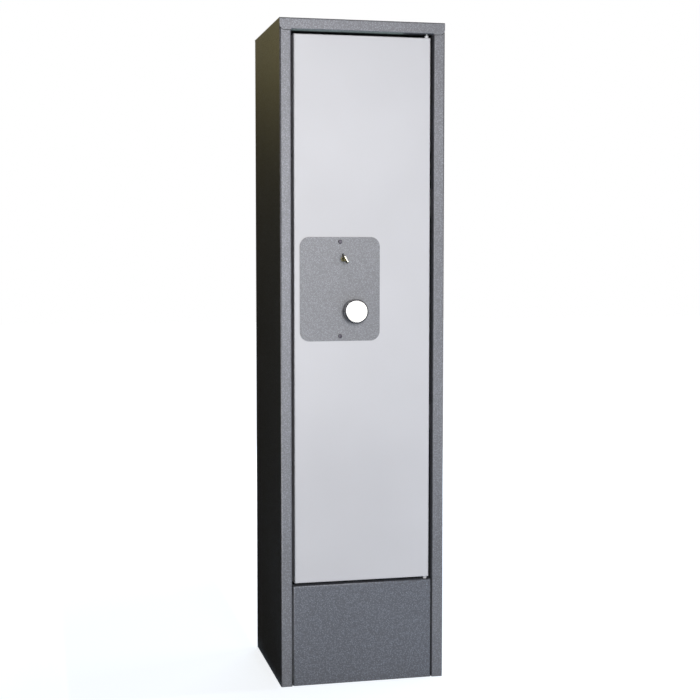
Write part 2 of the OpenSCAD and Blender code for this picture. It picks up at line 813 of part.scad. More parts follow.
module cam_disc() {
    color(dark_steel) difference() {
        bar_y(knob_x, disc_y, knob_z, disc_d, disc_t);
        bar_y(knob_x, disc_y - 1, knob_z, 5, disc_t + 2);
        translate([knob_x, disc_y + disc_t - 2.5, knob_z]) rotate([-90, 0, 0]) cylinder(d1 = 5, d2 = 10 + 2 * eps, h = 2.5 + eps);
        for (p = [pin_carrier, pin_top_rod, pin_bottom_rod]) bar_y(p[0], disc_y - 1, p[1], drive_pin_d, disc_t + 2);
    }
}

module cam_screw() {
    color(plated) {
        bar_y(knob_x, disc_y - 11, knob_z, 5, 11 + disc_t - 2.5);
        translate([knob_x, disc_y + disc_t - 2.5, knob_z]) rotate([-90, 0, 0]) cylinder(d1 = 5, d2 = 10, h = 2.5);
    }
}

module drive_pins() {
    rod_reach = rod_y + rod_t + 0.4 - disc_y;
    color(plated) {
        for (p = [pin_top_rod, pin_bottom_rod]) bar_y(p[0], disc_y, p[1], drive_pin_d, rod_reach);
        bar_y(pin_carrier[0], disc_y, pin_carrier[1], drive_pin_d, carrier_y + carrier_t + 1 - disc_y);
    }
}

module bolt_carrier() {
    tongue_end = pin_carrier[0] + 8;
    tongue_z = knob_z + pin_reach - pin_slot_w / 2 - 4;
    color(plated) difference() {
        upright(carrier_y, carrier_t) union() {
            translate([carrier_x, knob_z - carrier_h / 2]) round_rect(rod_w, carrier_h, 4);
            translate([carrier_x + rod_w / 2, tongue_z])
                square([tongue_end - carrier_x - rod_w / 2, pin_slot_l + 8]);
        }
        upright(carrier_y - 1, carrier_t + 2)
            translate([pin_carrier[0], knob_z + (pin_reach + pin_r) / 2]) rotate(90) slot2d(pin_slot_l, pin_slot_w);
        // lightening slots
        for (s = [-1, 1], share = [0.11, 0.19, 0.27])
            upright(carrier_y - 1, carrier_t + 2)
                translate([carrier_x + rod_w / 2, knob_z + s * share * carrier_h])
                    rotate(90) slot2d(0.065 * carrier_h, rod_w / 3);
        for (z = carrier_post_z)
            upright(carrier_y - 1, carrier_t + 2)
                translate([carrier_post_x + bolt_travel / 2, z])
                    slot2d(bolt_travel + carrier_pin_d + 2 * fit, carrier_pin_d + 2 * fit);
    }
}

module side_bolts() {
    color(plated) difference() {
        for (i = [0:bolt_count - 1]) {
            bar_x(bolt_tip_x + 1, side_bolt_y, side_bolt_z(i), bolt_d, carrier_x + rod_w - bolt_tip_x - 1);
            translate([bolt_tip_x, side_bolt_y, side_bolt_z(i)]) rotate([0, 90, 0])
                cylinder(d1 = bolt_d - 2, d2 = bolt_d, h = 1);
        }
        translate([carrier_x, carrier_y, knob_z - carrier_h]) cube([rod_w + 1, carrier_t, 2 * carrier_h]);
    }
}

module top_rod() {
    foot_z = pin_top_rod[1] - foot_h / 2;
    notch_h = lock_bolt_h + 2 * fit;
    color(plated) difference() {
        upright(rod_y, rod_t) union() {
            translate([top_rod_x, foot_z]) square([rod_w, top_rod_end - foot_z]);
            translate([knob_x + foot_in, foot_z]) square([top_rod_x - knob_x - foot_in + 1, foot_h]);
        }
        upright(rod_y - 1, rod_t + 2)
            translate([knob_x + (pin_reach + pin_r) / 2, pin_top_rod[1]]) slot2d(pin_slot_l, pin_slot_w);
        // the lock's bolt enters the upper notch with the rod drawn in and the lower one with it shot
        for (dz = [0, -bolt_travel])
            translate([top_rod_x - 1, rod_y - 1, key_z + dz - notch_h / 2]) cube([11, rod_t + 2, notch_h]);
    }
}

module bottom_rod() {
    foot_z = pin_bottom_rod[1] - foot_h / 2;
    color(plated) difference() {
        upright(rod_y, rod_t) union() {
            translate([bottom_rod_x, bottom_rod_end]) square([rod_w, foot_z + foot_h - bottom_rod_end]);
            translate([knob_x - foot_in - 2, foot_z]) square([2, foot_h]);
        }
        upright(rod_y - 1, rod_t + 2)
            translate([knob_x - (pin_reach + pin_r) / 2, pin_bottom_rod[1]]) slot2d(pin_slot_l, pin_slot_w);
    }
}

wrap_shell();
roof_pan();
floor_pan();
plinth_panel();
plinth_spacers();
top_pivot_plate();
sill_pivot_plate();
door_stop_brackets();
stop_bumpers();
barrel_rack();
rack_rivets();
rack_felt();
floor_mat();
door_panel();
door_stiffener();
pivot_blocks();
top_pivot_pin();
bottom_pivot_pin();
pivot_collars();
hinge_side_dogs();
lock_plate();
plate_screws();
spindle_bush();
cover_posts();
door_back_cover();
cover_screws();
carrier_posts();
carrier_screws();
rod_guides();
lock_pillars();
lock_case();
lock_cap();
lock_screws();
lever_pack();
lever_post();
lever_springs();
knob();
knob_spindle();
knob_set_screw();
cam_disc();
cam_screw();
drive_pins();
bolt_carrier();
side_bolts();
top_rod();
bottom_rod();
lock_bolt();
key();
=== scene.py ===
import json
import math

import bmesh
import bpy
import numpy as np
from mathutils import Matrix, Vector


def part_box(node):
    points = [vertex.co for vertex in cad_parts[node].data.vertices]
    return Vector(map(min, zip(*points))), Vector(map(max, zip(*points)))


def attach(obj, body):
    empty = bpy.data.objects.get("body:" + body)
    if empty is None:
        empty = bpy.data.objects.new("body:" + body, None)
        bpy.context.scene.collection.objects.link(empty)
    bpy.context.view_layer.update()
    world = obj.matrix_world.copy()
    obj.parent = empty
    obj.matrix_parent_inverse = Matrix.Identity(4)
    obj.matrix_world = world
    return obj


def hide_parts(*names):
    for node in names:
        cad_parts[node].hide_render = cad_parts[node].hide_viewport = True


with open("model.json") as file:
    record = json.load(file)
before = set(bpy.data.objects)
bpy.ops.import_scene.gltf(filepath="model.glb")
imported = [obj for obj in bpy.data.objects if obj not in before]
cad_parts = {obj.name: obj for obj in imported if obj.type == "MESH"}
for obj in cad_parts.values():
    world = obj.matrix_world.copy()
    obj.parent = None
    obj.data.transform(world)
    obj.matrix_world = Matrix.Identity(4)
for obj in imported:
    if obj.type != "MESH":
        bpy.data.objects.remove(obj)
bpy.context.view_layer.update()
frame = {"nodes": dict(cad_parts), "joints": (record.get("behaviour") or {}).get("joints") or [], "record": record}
nodes = frame["nodes"]
mm = 0.001
white = (1.0, 1.0, 1.0, 1.0)
mostNoise = dict(From_Min=0.3, From_Max=0.7)  # most of a noise's values lie between these


def linear(code):
    # sRGB hex to the linear colour that shaders take
    parts = [int(code[i:i + 2], 16) / 255 for i in (1, 3, 5)]
    return tuple(c / 12.92 if c < 0.04045 else ((c + 0.055) / 1.055) ** 2.4 for c in parts) + (1.0,)


def addNode(tree, kind, settings=None, **inputs):
    # settings: the node's own properties, with a ramp's stops as (position, colour) pairs
    # inputs: a value, a node or an output, under the socket's name, or its number where names repeat (at6)
    node = tree.nodes.new(kind)
    for key, value in (settings or {}).items():
        if key == "stops":
            elements = node.color_ramp.elements
            while len(elements) < len(value):
                elements.new(0.5)
            for element, (position, colour) in zip(elements, value):
                element.position = position
                element.color = colour
        else:
            setattr(node, key, value)
    for key, value in inputs.items():
        socket = node.inputs[int(key[2:]) if key.startswith("at") else key.replace("_", " ")]
        source = value.outputs[0] if isinstance(value, bpy.types.Node) else value
        if isinstance(source, bpy.types.NodeSocket):
            tree.links.new(source, socket)
        else:
            socket.default_value = source
    return node


def emptyMaterial(name):
    material = bpy.data.materials.new(name)
    material.use_nodes = True
    material.node_tree.nodes.clear()
    return material


def closeMaterial(material, **shader):
    # gives the material its one shader, straight into its output
    surface = addNode(material.node_tree, "ShaderNodeBsdfPrincipled", None, **shader)
    addNode(material.node_tree, "ShaderNodeOutputMaterial", None, Surface=surface)
    return material


def rubbedEdgeAndHighlight(tree, place, look):
    # one where the film has rubbed thin and a painted highlight on edges and bends: where the rounded normal
    # leaves the flat one, broken up by noise
    rounded = addNode(tree, "ShaderNodeBevel", {"samples": 6}, Radius=look["edgeMm"] * mm)
    flat = addNode(tree, "ShaderNodeNewGeometry").outputs["Normal"]
    bend = addNode(tree, "ShaderNodeVectorMath", {"operation": "DOT_PRODUCT"}, at0=rounded, at1=flat)
    near = addNode(tree, "ShaderNodeMapRange", None, Value=bend.outputs["Value"], From_Min=0.99,
                   From_Max=0.86)
    patches = addNode(tree, "ShaderNodeTexNoise", None, Vector=place, Scale=1 / (look["patchMm"] * mm),
                      Detail=4.0, Roughness=0.7)
    broken = addNode(tree, "ShaderNodeMapRange", None, Value=patches, From_Min=0.35, From_Max=0.6,
                     To_Min=0.15)
    return addNode(tree, "ShaderNodeMath", {"operation": "MULTIPLY"}, at0=near, at1=broken)


def hammertone(look):
    # Hammertone enamel, sprayed and stoved: small dimples ringed by darker pigment, over a smooth film
    material = emptyMaterial(look["name"])
    tree = material.node_tree
    place = addNode(tree, "ShaderNodeTexCoord").outputs["Object"]
    wobble = addNode(tree, "ShaderNodeTexNoise", None, Vector=place, Scale=1 / (look["wobbleMm"] * mm),
                     Detail=3.0, Roughness=0.6)
    shifted = addNode(tree, "ShaderNodeVectorMath", {"operation": "MULTIPLY_ADD"},
                      at0=wobble.outputs["Color"], at1=(look["swayMm"] * mm,) * 3, at2=place)
    cells = addNode(tree, "ShaderNodeTexVoronoi", {"feature": "SMOOTH_F1"}, Vector=shifted,
                    Scale=1 / (look["cellMm"] * mm), Smoothness=0.45, Randomness=1.0)
    fine = addNode(tree, "ShaderNodeTexNoise", None, Vector=place, Scale=1 / (look["grainMm"] * mm),
                   Detail=4.0, Roughness=0.65)
    speckle = addNode(tree, "ShaderNodeMapRange", None, Value=fine, **mostNoise,
                      To_Min=-look["speckle"], To_Max=look["speckle"])
    pigment = addNode(tree, "ShaderNodeMath", {"operation": "MULTIPLY_ADD"}, at0=cells, at1=0.75, at2=speckle)
    stops = [(at, linear(tone)) for at, tone in look["tones"]]
    colour = addNode(tree, "ShaderNodeValToRGB", {"stops": stops}, Fac=pigment)
    broad = addNode(tree, "ShaderNodeTexNoise", None, Vector=place, Scale=1 / (look["broadMm"] * mm),
                    Detail=2.0)
    shade = addNode(tree, "ShaderNodeValToRGB", {"stops": [(0.3, (0.9, 0.9, 0.9, 1.0)), (0.7, white)]},
                    Fac=broad)
    patchy = addNode(tree, "ShaderNodeMix", {"data_type": "RGBA", "blend_type": "MULTIPLY"}, at0=1.0,
                     at6=colour, at7=shade)
    # edges and bends lightened: film rubbed thin, and a painted highlight
    wornAndHighlit = addNode(tree, "ShaderNodeMix", {"data_type": "RGBA"}, at0=rubbedEdgeAndHighlight(tree, place, look),
                   at6=patchy.outputs[2], at7=linear(look["edgeWearHighlightTone"]))
    rough = addNode(tree, "ShaderNodeMapRange", None, Value=fine, **mostNoise,
                    To_Min=look["roughness"][0], To_Max=look["roughness"][1])
    ripple = addNode(tree, "ShaderNodeMapRange", None, Value=fine, To_Max=0.35)
    height = addNode(tree, "ShaderNodeMath", {"operation": "MULTIPLY_ADD"}, at0=cells, at1=-1.0, at2=ripple)
    bump = addNode(tree, "ShaderNodeBump", None, Height=height, Strength=look["bump"],
                   Distance=look["depthMm"] * mm)
    return closeMaterial(material, Base_Color=wornAndHighlit.outputs[2], Roughness=rough, Normal=bump,
                         Metallic=look["metallic"], Specular_IOR_Level=0.5, IOR=1.5)


def smoothEnamel(look):
    # Stoving enamel from a spray gun: a smooth film with faint orange peel and dust-fine grain
    material = emptyMaterial(look["name"])
    tree = material.node_tree
    place = addNode(tree, "ShaderNodeTexCoord").outputs["Object"]
    peel = addNode(tree, "ShaderNodeTexNoise", None, Vector=place, Scale=1 / (look["peelMm"] * mm),
                   Detail=2.0, Roughness=0.5)
    grain = addNode(tree, "ShaderNodeTexNoise", None, Vector=place, Scale=1 / (look["grainMm"] * mm),
                    Detail=3.0, Roughness=0.7)
    broad = addNode(tree, "ShaderNodeTexNoise", None, Vector=place, Scale=1 / (look["broadMm"] * mm),
                    Detail=2.0)
    drift = addNode(tree, "ShaderNodeMapRange", None, Value=broad, **mostNoise, To_Max=0.5)
    mixed = addNode(tree, "ShaderNodeMath", {"operation": "MULTIPLY_ADD"}, at0=grain, at1=0.5, at2=drift)
    stops = [(at, linear(tone)) for at, tone in look["tones"]]
    colour = addNode(tree, "ShaderNodeValToRGB", {"stops": stops}, Fac=mixed)
    # edges and bends lightened: film rubbed thin, and a painted highlight
    wornAndHighlit = addNode(tree, "ShaderNodeMix", {"data_type": "RGBA"}, at0=rubbedEdgeAndHighlight(tree, place, look),
                   at6=colour, at7=linear(look["edgeWearHighlightTone"]))
    rough = addNode(tree, "ShaderNodeMapRange", None, Value=grain, **mostNoise,
                    To_Min=look["roughness"][0], To_Max=look["roughness"][1])
    bump = addNode(tree, "ShaderNodeBump", None, Height=peel, Strength=look["bump"],
                   Distance=look["depthMm"] * mm)
    return closeMaterial(material, Base_Color=wornAndHighlit.outputs[2], Roughness=rough, Normal=bump,
                         Specular_IOR_Level=0.5, IOR=1.5)


def metalFinish(look):
    # Bare or plated metal: base tone broken by stains, and fine grain that milling can draw out one way
    material = emptyMaterial(look["name"])
    tree = material.node_tree
    place = addNode(tree, "ShaderNodeTexCoord").outputs["Object"]
    drawn = addNode(tree, "ShaderNodeMapping", None, Vector=place, Scale=look.get("grainStretch", (1, 1, 1)))
    grain = addNode(tree, "ShaderNodeTexNoise", None, Vector=drawn, Scale=1 / (look["grainMm"] * mm),
                    Detail=4.0, Roughness=0.65)
    stain = addNode(tree, "ShaderNodeTexNoise", None, Vector=place, Scale=1 / (look["stainMm"] * mm),
                    Detail=4.0, Roughness=0.6)
    stops = [(0.35, linear(look["tones"][0])), (0.65, linear(look["tones"][1]))]
    colour = addNode(tree, "ShaderNodeValToRGB", {"stops": stops}, Fac=stain)
    rough = addNode(tree, "ShaderNodeMapRange", None, Value=stain, **mostNoise,
                    To_Min=look["roughness"][0], To_Max=look["roughness"][1])
    bump = addNode(tree, "ShaderNodeBump", None, Height=grain, Strength=look["bump"], Distance=0.02 * mm)
    return closeMaterial(material, Base_Color=colour, Roughness=rough, Normal=bump, Metallic=1.0)


def softFinish(look):
    # Rubber, mastic or felt: dull, with a nap or a moulding grain
    material = emptyMaterial(look["name"])
    tree = material.node_tree
    place = addNode(tree, "ShaderNodeTexCoord").outputs["Object"]
    grain = addNode(tree, "ShaderNodeTexNoise", None, Vector=place, Scale=1 / (look["grainMm"] * mm),
                    Detail=5.0, Roughness=0.7)
    broad = addNode(tree, "ShaderNodeTexNoise", None, Vector=place, Scale=1 / (33.3 * mm), Detail=3.0)
    drift = addNode(tree, "ShaderNodeMapRange", None, Value=broad, **mostNoise, To_Max=0.4)
    mixed = addNode(tree, "ShaderNodeMath", {"operation": "MULTIPLY_ADD"}, at0=grain, at1=0.6, at2=drift)
    stops = [(0.25, linear(look["tones"][0])), (0.75, linear(look["tones"][1]))]
    colour = addNode(tree, "ShaderNodeValToRGB", {"stops": stops}, Fac=mixed)
    rough = addNode(tree, "ShaderNodeMapRange", None, Value=grain, **mostNoise,
                    To_Min=look["roughness"][0], To_Max=look["roughness"][1])
    bump = addNode(tree, "ShaderNodeBump", None, Height=grain, Strength=look["bump"],
                   Distance=look["depthMm"] * mm)
    return closeMaterial(material, Base_Color=colour, Roughness=rough, Normal=bump,
                         Specular_IOR_Level=look["specular"], Sheen_Weight=look["sheen"],
                         Sheen_Roughness=0.5)


# hammertone: dimples stand 1 to 2 mm apart on real sheet, and are drawn coarser so that they show
cabinetPaint = dict(name="hammertoneEnamel", cellMm=3.0, grainMm=1.1, wobbleMm=3.846, swayMm=2.2, broadMm=200,
                    speckle=0.18, tones=((0.0, "#9a9ca2"), (0.2, "#83858b"), (0.42, "#717277")),
                    roughness=(0.46, 0.6), metallic=0.55, bump=0.4, depthMm=0.2, edgeMm=1.0, patchMm=7,
                    edgeWearHighlightTone="#a5a6a7")
# the same enamel on the fixed panel, a shade deeper and bluer: painted shade for the bottom of the cabinet
plinthShadedPaint = dict(cabinetPaint, name="hammertoneEnamelPlinthShaded",
                   tones=((0.0, "#90949e"), (0.2, "#767a83"), (0.42, "#64666c")))
# the lock plate has a finer spray and less metal powder in it
platePaint = dict(cabinetPaint, name="hammertoneEnamelPlate", cellMm=2.4, grainMm=0.8,
                  tones=((0.0, "#9c9da3"), (0.2, "#84868b"), (0.42, "#747579")), roughness=(0.45, 0.59),
                  metallic=0.45, edgeMm=0.8)
# the door's light grey: even, half gloss, with slow changes of tone
doorPaint = dict(name="lightGreyEnamel", peelMm=3.5, grainMm=0.9, broadMm=333.3,
                 tones=((0.2, "#bebec2"), (0.8, "#c9c9cd")), roughness=(0.37, 0.47), bump=0.15, depthMm=0.05,
                 edgeMm=1.0, patchMm=9, edgeWearHighlightTone="#d6d6d8")
# white enamel run into the knob's index mark
indexWhite = dict(doorPaint, name="whiteFillEnamel", peelMm=1.5, grainMm=0.3,
                  tones=((0.2, "#e2e2df"), (0.8, "#efefec")), roughness=(0.35, 0.45), bump=0.1, depthMm=0.02,
                  edgeMm=0.2, edgeWearHighlightTone="#d6d6d2")
metals = {
    # hot-rolled and oiled: dark, with soft glints
    "bare_steel": dict(name="oiledMildSteel", grainMm=0.5, stainMm=14, tones=("#3c3d40", "#5a5b5e"),
                       roughness=(0.38, 0.55), bump=0.2),
    # bright plating: pale and a little blue, with blurred reflections
    "zinc_plated": dict(name="brightZincPlate", grainMm=0.6, stainMm=9, tones=("#a9adb0", "#c3c6c6"),
                        roughness=(0.26, 0.4), bump=0.15),
    # chemically blacked: dark with a violet cast
    "screw_dark": dict(name="blackenedSteel", grainMm=0.3, stainMm=3, tones=("#38363c", "#58565e"),
                       roughness=(0.3, 0.45), bump=0.2),
    # turned on a lathe: yellow, with fairly sharp lights
    "bush_brass": dict(name="turnedBrass", grainMm=0.3, stainMm=6, tones=("#a8853e", "#c7a557"),
                       roughness=(0.25, 0.4), bump=0.15),
    # stamped from sheet: a duller yellow
    "lever_brass": dict(name="stampedBrass", grainMm=0.4, stainMm=6, tones=("#a98a48", "#c9a95f"),
                        roughness=(0.3, 0.45), bump=0.2),
    # tempered to blue: smooth and slaty
    "spring_steel": dict(name="bluedSpringSteel", grainMm=0.3, stainMm=5, tones=("#2f3540", "#4a5264"),
                         roughness=(0.28, 0.4), bump=0.1),
    # aged plating: grey, nearly matt
    "lock_case_zinc": dict(name="dullZincPlate", grainMm=0.6, stainMm=12, tones=("#8d8f8d", "#a6a8a4"),
                           roughness=(0.38, 0.55), bump=0.2),
    # milled upright: silky, with its grain drawn out along Z
    "lock_bolt_steel": dict(name="milledSteel", grainMm=0.4, grainStretch=(1, 1, 0.05), stainMm=10,
                            tones=("#9b9d9f", "#b4b6b7"), roughness=(0.28, 0.42), bump=0.25),
    # satin plating over polish: close to a mirror
    "knob_chrome": dict(name="satinChrome", grainMm=0.25, stainMm=12, tones=("#e0ddd9", "#ecebe8"),
                        roughness=(0.16, 0.2), bump=0.03),
    # the knob's metal, painted dark for its side and rim: painted shade and dark reflection
    "knobSide": dict(name="knobMetalPaintedShade", grainMm=0.25, stainMm=12, tones=("#5a5a5c", "#737375"),
                     roughness=(0.16, 0.24), bump=0.05),
    # the key's nickel painted dull and olive: painted shade and dark olive reflection
    "keyShank": dict(name="keyNickelPaintedShade", grainMm=0.4, stainMm=4, tones=("#5d5840", "#847d5c"),
                     roughness=(0.34, 0.5), bump=0.15),
    # nickel still bright: a warm white metal
    "key_nickel": dict(name="nickelPlate", grainMm=0.4, stainMm=5, tones=("#b6b1a0", "#d8d5c8"),
                       roughness=(0.2, 0.34), bump=0.1),
}
softs = {
    # moulded: near black, with a faint grey bloom
    "bumper_rubber": dict(name="mouldedRubber", grainMm=0.5, tones=("#1b1b1c", "#2a2a2b"),
                          roughness=(0.62, 0.78), bump=0.3, depthMm=0.1, specular=0.4, sheen=0.0),
    # dust in the seam and painted shade of the gap: it only reads as a dark line
    "seamShadow": dict(name="seamDustAndPaintedShade", grainMm=0.4, tones=("#1d1e20", "#2b2c2f"),
                       roughness=(0.72, 0.88), bump=0.2, depthMm=0.05, specular=0.2, sheen=0.0),
    # rolled sheet with a cloth print: matt and grainy
    "mat_rubber": dict(name="sheetRubber", grainMm=0.9, tones=("#202122", "#323334"),
                       roughness=(0.64, 0.8), bump=0.5, depthMm=0.3, specular=0.4, sheen=0.0),
    # needled fibres: a soft nap that catches light at grazing angles
    "rack_felt": dict(name="needleFelt", grainMm=0.7, tones=("#25282b", "#43474b"),
                      roughness=(0.84, 1.0), bump=0.8, depthMm=0.5, specular=0.2, sheen=0.35),
}
finishes = {"cabinet_paint": hammertone(cabinetPaint), "plinthShadedPaint": hammertone(plinthShadedPaint),
            "plate_paint": hammertone(platePaint), "door_paint": smoothEnamel(doorPaint),
            "indexWhite": smoothEnamel(indexWhite)}
finishes.update({key: metalFinish(settings) for key, settings in metals.items()})
finishes.update({key: softFinish(settings) for key, settings in softs.items()})
print("finishes ready:", len(finishes))


# CAD nodes that stay: a finish each, and a small broken edge on all that isn't folded sheet
edgeBreak = dict(width=0.25, segments=2, fromDegrees=40, weld=0.002,
                 folded=("wrap_shell", "door_panel", "roof_pan", "plinth_panel"))
slotOf = {row["node"]: row["material_slot"] for row in frame["record"]["subparts"]}


def finishNode(name, piece):
    piece.data.materials.clear()
    # the plinth takes the painted-shade copy of the cabinet enamel
    piece.data.materials.append(finishes["plinthShadedPaint" if name == "plinth_panel" else slotOf[name]])
    weld = piece.modifiers.new("weld", "WELD")
    weld.merge_threshold = edgeBreak["weld"] * mm
    if name not in edgeBreak["folded"]:
        bevel = piece.modifiers.new("edge", "BEVEL")
        bevel.width = edgeBreak["width"] * mm
        bevel.segments = edgeBreak["segments"]
        bevel.limit_method = "ANGLE"
        bevel.angle_limit = math.radians(edgeBreak["fromDegrees"])
        bevel.harden_normals = True


for nodeName, nodePiece in nodes.items():
    finishNode(nodeName, nodePiece)
print("CAD pieces finished:", len(nodes))


def addPiece(name, verts, faces, body, finish, slotName, stands=(), sharp=30):
    # makes a mesh piece in the object's frame, closes its seams and poles, and puts it on its body
    mesh = bpy.data.meshes.new(name)
    mesh.from_pydata(np.asarray(verts).reshape(-1, 3).tolist(), [], faces)
    work = bmesh.new()
    work.from_mesh(mesh)
    bmesh.ops.remove_doubles(work, verts=work.verts, dist=1e-6)
    bmesh.ops.dissolve_degenerate(work, edges=work.edges, dist=1e-7)
    bmesh.ops.recalc_face_normals(work, faces=work.faces)
    work.to_mesh(mesh)
    work.free()
    mesh.polygons.foreach_set("use_smooth", np.ones(len(mesh.polygons), dtype=bool))
    mesh.set_sharp_from_angle(angle=math.radians(sharp))
    piece = bpy.data.objects.new(name, mesh)
    bpy.context.collection.objects.link(piece)
    mesh.materials.append(finishes[finish])
    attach(piece, body)
    if stands:
        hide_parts(*stands)
    return piece


def gridFaces(rows, columns, start=0, closeRows=False, closeColumns=False):
    # quads between neighbouring points of a grid, which may close on itself either way
    row, column = np.meshgrid(np.arange(rows if closeRows else rows - 1),
                              np.arange(columns if closeColumns else columns - 1), indexing="ij")
    nextRow, nextColumn = (row + 1) % rows, (column + 1) % columns
    quads = np.stack([row * columns + column, nextRow * columns + column, nextRow * columns + nextColumn,
                      row * columns + nextColumn], axis=-1)
    return (quads + start).reshape(-1, 4).tolist()


def sheetFaces(rows, columns):
    # closes two equal grids into a sheet: both faces, and a wall round their border
    border = np.concatenate([np.arange(columns), np.arange(1, rows) * columns + columns - 1,
                             (rows - 1) * columns + np.arange(columns - 2, -1, -1),
                             np.arange(rows - 2, 0, -1) * columns])
    after = np.roll(border, -1)
    count = rows * columns
    wall = np.stack([border, after, after + count, border + count], axis=-1).tolist()
    return gridFaces(rows, columns) + [face[::-1] for face in gridFaces(rows, columns, count)] + wall


def turnedPoints(profile, centre, angles):
    # P(s, a) = centre + r(s) (cos a, 0, sin a) - t(s) (0, 1, 0): a profile of (r, t), in mm, about Y
    ring = np.stack([np.cos(angles), np.zeros(len(angles)), np.sin(angles)], axis=-1)
    out = np.array([0, -1, 0])
    return profile[:, None, :1] * mm * ring[None] + profile[:, None, 1:] * mm * out + np.array(centre)


def turned(profile, centre, steps):
    # the profile carried all the way round
    profile = np.asarray(profile, dtype=float)
    angles = np.linspace(0, 2 * math.pi, steps, endpoint=False)
    return turnedPoints(profile, centre, angles), gridFaces(len(profile), steps, closeColumns=True)


def carried(path, up, section):
    # P(i, k) = path(i) + section(k).x side(i) + section(k).y up, side square to the path; both ends capped
    section = np.asarray(section, dtype=float)
    tangent = np.gradient(path, axis=0)
    tangent /= np.linalg.norm(tangent, axis=1)[:, None]
    side = np.cross(tangent, up)
    points = path[:, None] + section[None, :, :1] * side[:, None] + section[None, :, 1:] * np.array(up)
    count, total = len(section), len(path) * len(section)
    caps = [list(range(count)), list(range(total - 1, total - 1 - count, -1))]
    return points, gridFaces(len(path), count, closeColumns=True) + caps


def roundedRing(width, height, radius, steps=6):
    # a closed rounded rectangle, width by height, centred: four quarter circles in turn
    ring = []
    for sx, sy, first in [(1, 1, 0), (-1, 1, 90), (-1, -1, 180), (1, -1, 270)]:
        angle = np.radians(first + np.linspace(0, 90, steps))
        ring.append(np.stack([sx * (width / 2 - radius) + radius * np.cos(angle),
                              sy * (height / 2 - radius) + radius * np.sin(angle)], axis=-1))
    return np.concatenate(ring)


def jointPlace(name):
    return next(joint for joint in frame["joints"] if joint["name"] == name)["pos_m"]


# knob, in mm outwards from the lock plate; backEdge gives steps in from the radius and up from the neck
knobShape = dict(rimWidth=2.6, rimDepth=1.7, dish=0.25, waist=0.385, neckRadius=16.0, neckHeight=2.8,
                 backEdge=((1.2, 0.0), (0.5, 0.3)), sideFrom=1.0, recess=0.9, fit=0.02, steps=160)
knobLow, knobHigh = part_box("knob")
knobCentre = (jointPlace("knob_turn")[0], knobHigh[1], jointPlace("knob_turn")[2])
knobRadius = (knobHigh[0] - knobLow[0]) / 2 / mm
knobHeight = (knobHigh[1] - knobLow[1]) / mm
faceRadius = knobRadius - knobShape["rimWidth"]


def knobSide():
    # a cylinder drawn in at the waist: r = radius - waist sin^2
    along = np.linspace(0, 1, 9)
    low = knobShape["neckHeight"] + knobShape["sideFrom"]
    high = knobHeight - knobShape["rimDepth"]
    radius = knobRadius - knobShape["waist"] * np.sin(math.pi * along) ** 2
    return np.stack([radius, low + along * (high - low)], axis=-1)


def knobShoulder():
    # a quarter ellipse from the side in to the face
    bend = np.linspace(0, math.pi / 2, 7)
    return np.stack([faceRadius + knobShape["rimWidth"] * np.cos(bend),
                     knobHeight - knobShape["rimDepth"] * (1 - np.sin(bend))], axis=-1)


def makeKnobBody():
    neck, lift = knobShape["neckRadius"], knobShape["neckHeight"]
    backEdge = [(knobRadius - inwards, lift + up) for inwards, up in knobShape["backEdge"]]
    seat = knobHeight - knobShape["recess"]
    profile = np.concatenate([[(0, 0), (neck, 0), (neck, lift)], backEdge, knobSide(), knobShoulder()[1:],
                              [(faceRadius, seat), (0, seat)]])
    # side and rim take the dark copy of the knob's metal as painted shade; only the face is chrome
    addPiece("knobBody", *turned(profile, knobCentre, knobShape["steps"]), "knob", "knobSide", "knob_chrome",
             ("knob",), 50)


def makeKnobFace():
    # a disc let into the body, dished towards its middle: t = height - dish sin
    inwards = np.linspace(0, 1, 24)
    radius = faceRadius - knobShape["fit"]
    back = knobHeight - knobShape["recess"] + knobShape["fit"]
    height = knobHeight - knobShape["dish"] * np.sin(inwards * math.pi / 2)
    dished = np.stack([radius * (1 - inwards), height], axis=-1)
    profile = np.concatenate([[(0, back), (radius, back)], dished])
    addPiece("knobFace", *turned(profile, knobCentre, knobShape["steps"]), "knob", "knob_chrome",
             "knob_chrome")


indexMark = dict(angle=135.0, width=1.5, proud=0.06, deep=0.3)


def makeIndexMark():
    # a short strip let into the shoulder, which follows the knob's own profile
    line = np.concatenate([knobSide()[-2:-1], knobShoulder()]) + indexMark["proud"]
    half = math.degrees(indexMark["width"] / 2 / knobRadius)
    angles = np.radians(indexMark["angle"] + np.linspace(-half, half, 5))
    points = [turnedPoints(line - sink, knobCentre, angles) for sink in (0.0, indexMark["deep"])]
    addPiece("knobIndexMark", np.stack(points), sheetFaces(len(line), len(angles)), "knob", "indexWhite",
             "knob_chrome")


setScrew = dict(radius=2.0, long=3.3, chamfer=0.3, socket=1.0, socketDeep=1.9, socketTip=2.2, socketEdge=0.15,
                socketBevel=0.2, inFrom=3.1)


def makeSetScrew():
    # a grub screw: turned about Y, then laid along X so that it looks out of the knob's side
    radius, long, socket = setScrew["radius"], setScrew["long"], setScrew["socket"]
    chamfer = setScrew["chamfer"]
    profile = [(0, 0), (radius, 0), (radius, long - chamfer), (radius - chamfer, long),
               (socket + setScrew["socketEdge"], long), (socket, long - setScrew["socketBevel"]),
               (socket, long - setScrew["socketDeep"]), (0, long - setScrew["socketTip"])]
    points, faces = turned(profile, (0, 0, 0), 48)
    low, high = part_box("knob_set_screw")
    startX = knobCentre[0] - (knobRadius - setScrew["inFrom"]) * mm
    start = np.array([startX, (low[1] + high[1]) / 2, (low[2] + high[2]) / 2])
    laid = np.stack([points[..., 1], points[..., 0], points[..., 2]], axis=-1) + start
    addPiece("knobSetScrew", laid, faces, "knob", "bare_steel", "bare_steel", ("knob_set_screw",))


makeKnobBody()
makeKnobFace()
makeIndexMark()
makeSetScrew()
print("knob turned")


